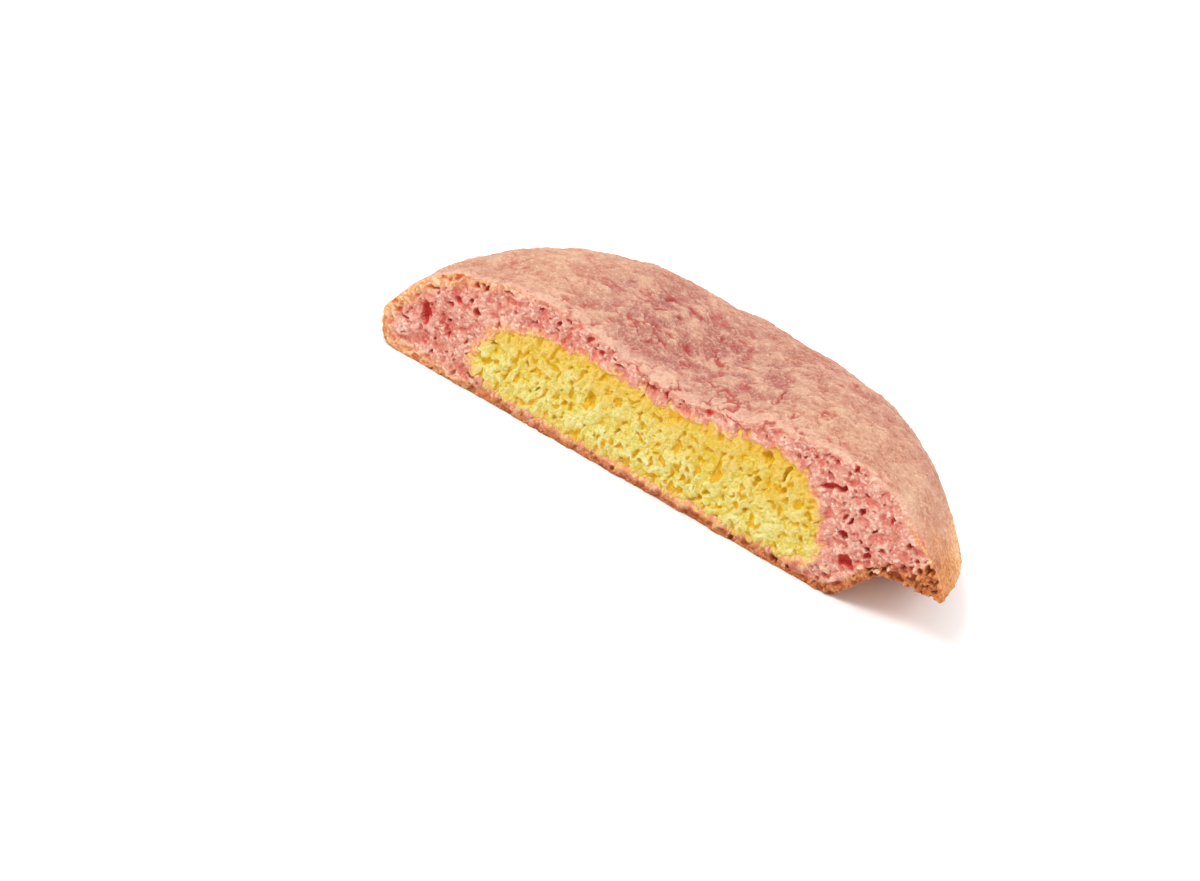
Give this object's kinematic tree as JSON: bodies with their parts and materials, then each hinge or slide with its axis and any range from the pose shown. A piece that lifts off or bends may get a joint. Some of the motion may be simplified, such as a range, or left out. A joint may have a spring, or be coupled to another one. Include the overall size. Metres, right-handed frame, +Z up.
{
  "type": "sweet potato cookie half",
  "caption": "Half of a round soft-baked sweet potato cookie, cut across to show pink crumb, a thin browned skin and a moist yellow filling.",
  "frame": {"origin": "under the middle of the half's bounding box, on the surface that it lies on", "axes": "+X to the right along the cut, +Y from the cut into the half, +Z up out of the flat base"},
  "size_m": [0.0758, 0.039, 0.017],
  "materials": {
    "pink_dough": "matte baked dough",
    "sweet_potato_filling": "matte moist crumb"
  },
  "bodies": {
    "root": {"pink_dough": "pink_dough", "sweet_potato_filling": "sweet_potato_filling"}
  },
  "joints": []
}
